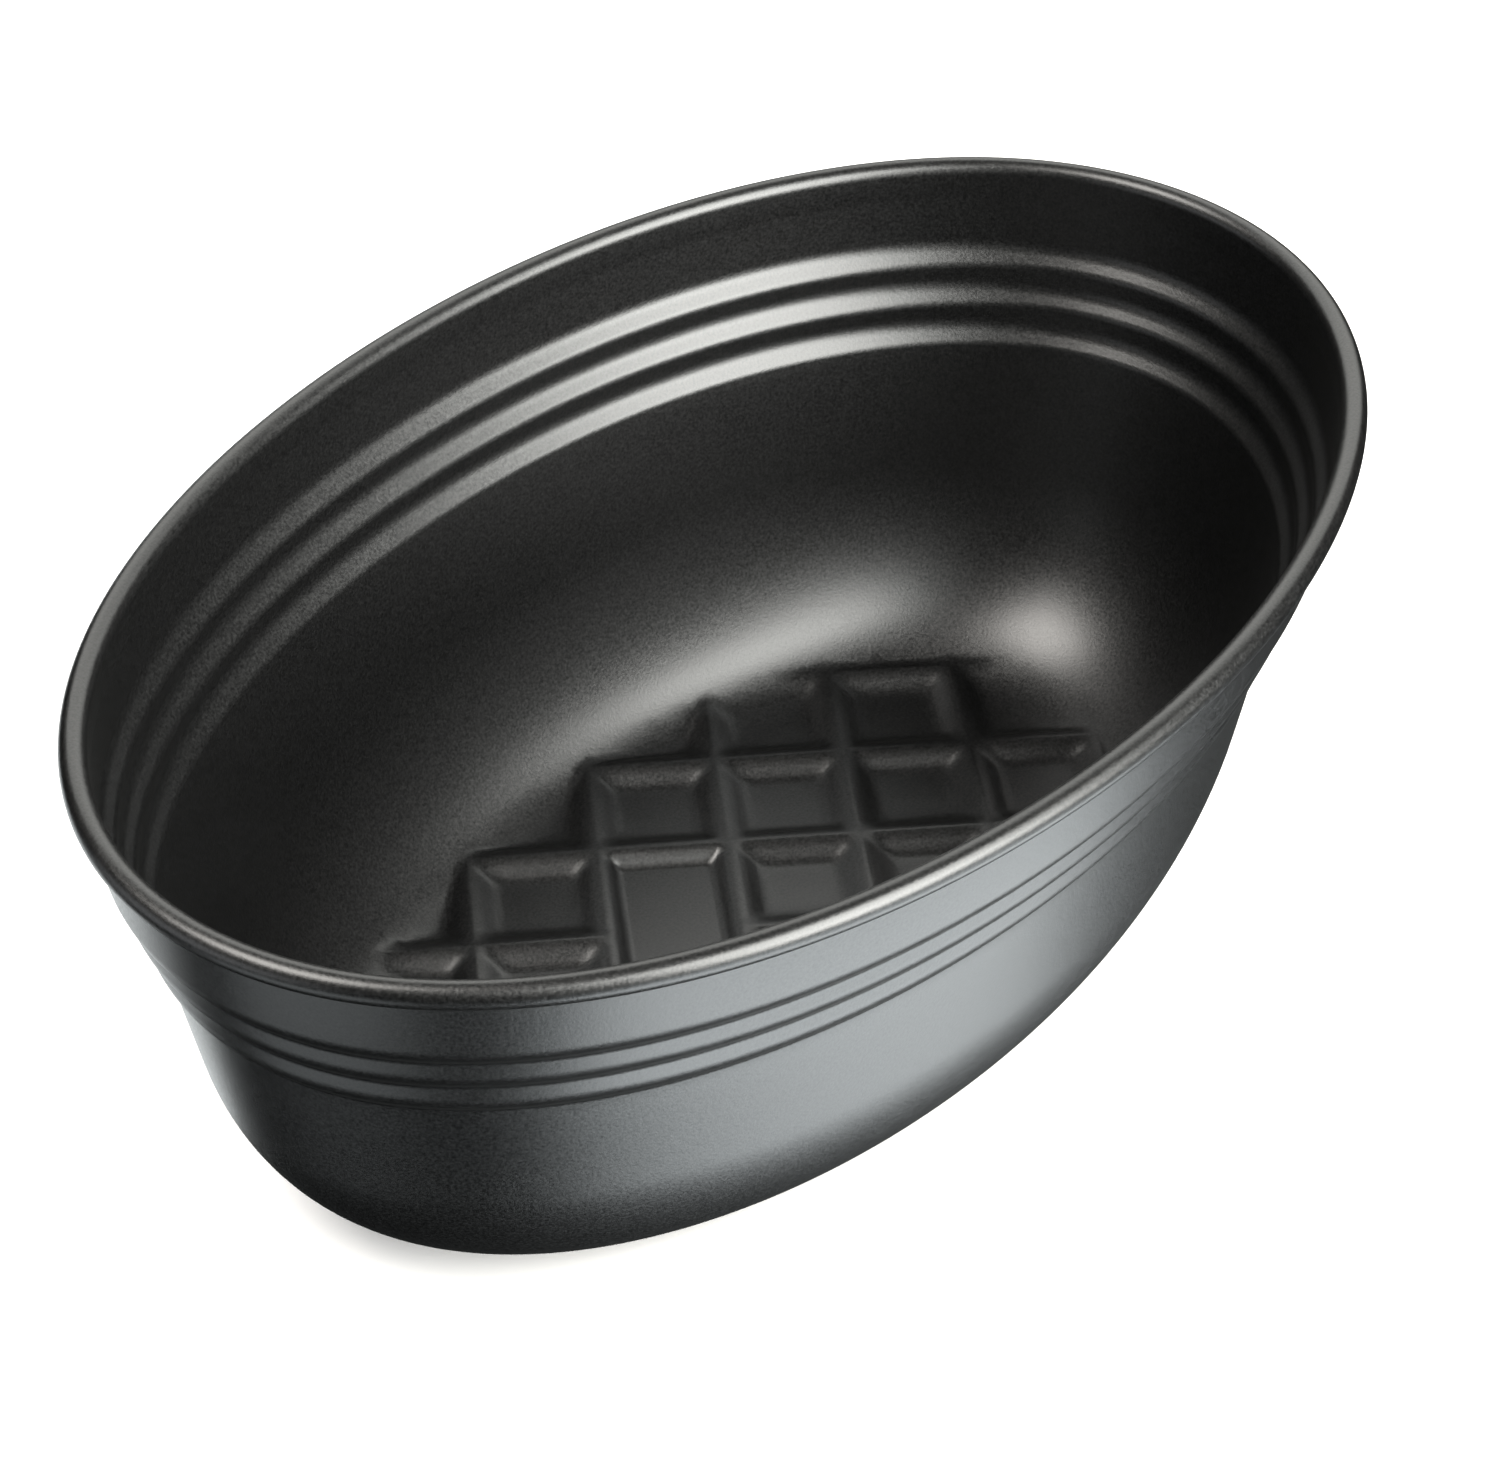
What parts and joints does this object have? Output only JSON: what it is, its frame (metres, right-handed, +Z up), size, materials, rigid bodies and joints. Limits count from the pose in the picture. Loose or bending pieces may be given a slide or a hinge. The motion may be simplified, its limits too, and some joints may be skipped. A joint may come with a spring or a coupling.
{
  "type": "oval baking pan",
  "caption": "Deep oval loaf pan of pressed sheet steel with a rolled wire rim, stepped ledges round the wall and a waffle base.",
  "frame": {"origin": "middle of the underside of the base, which is the middle of the bounding box's bottom", "axes": "+Z up through the open mouth, +X along the long way of the oval"},
  "size_m": [0.28, 0.179, 0.0964],
  "materials": {
    "nonstick_steel": "satin dark grey non-stick coating on sheet steel",
    "rim_wire_steel": "drawn galvanised wire, hidden inside the rolled rim"
  },
  "bodies": {
    "root": {"pan_shell": "nonstick_steel", "rim_wire": "rim_wire_steel"}
  },
  "joints": []
}
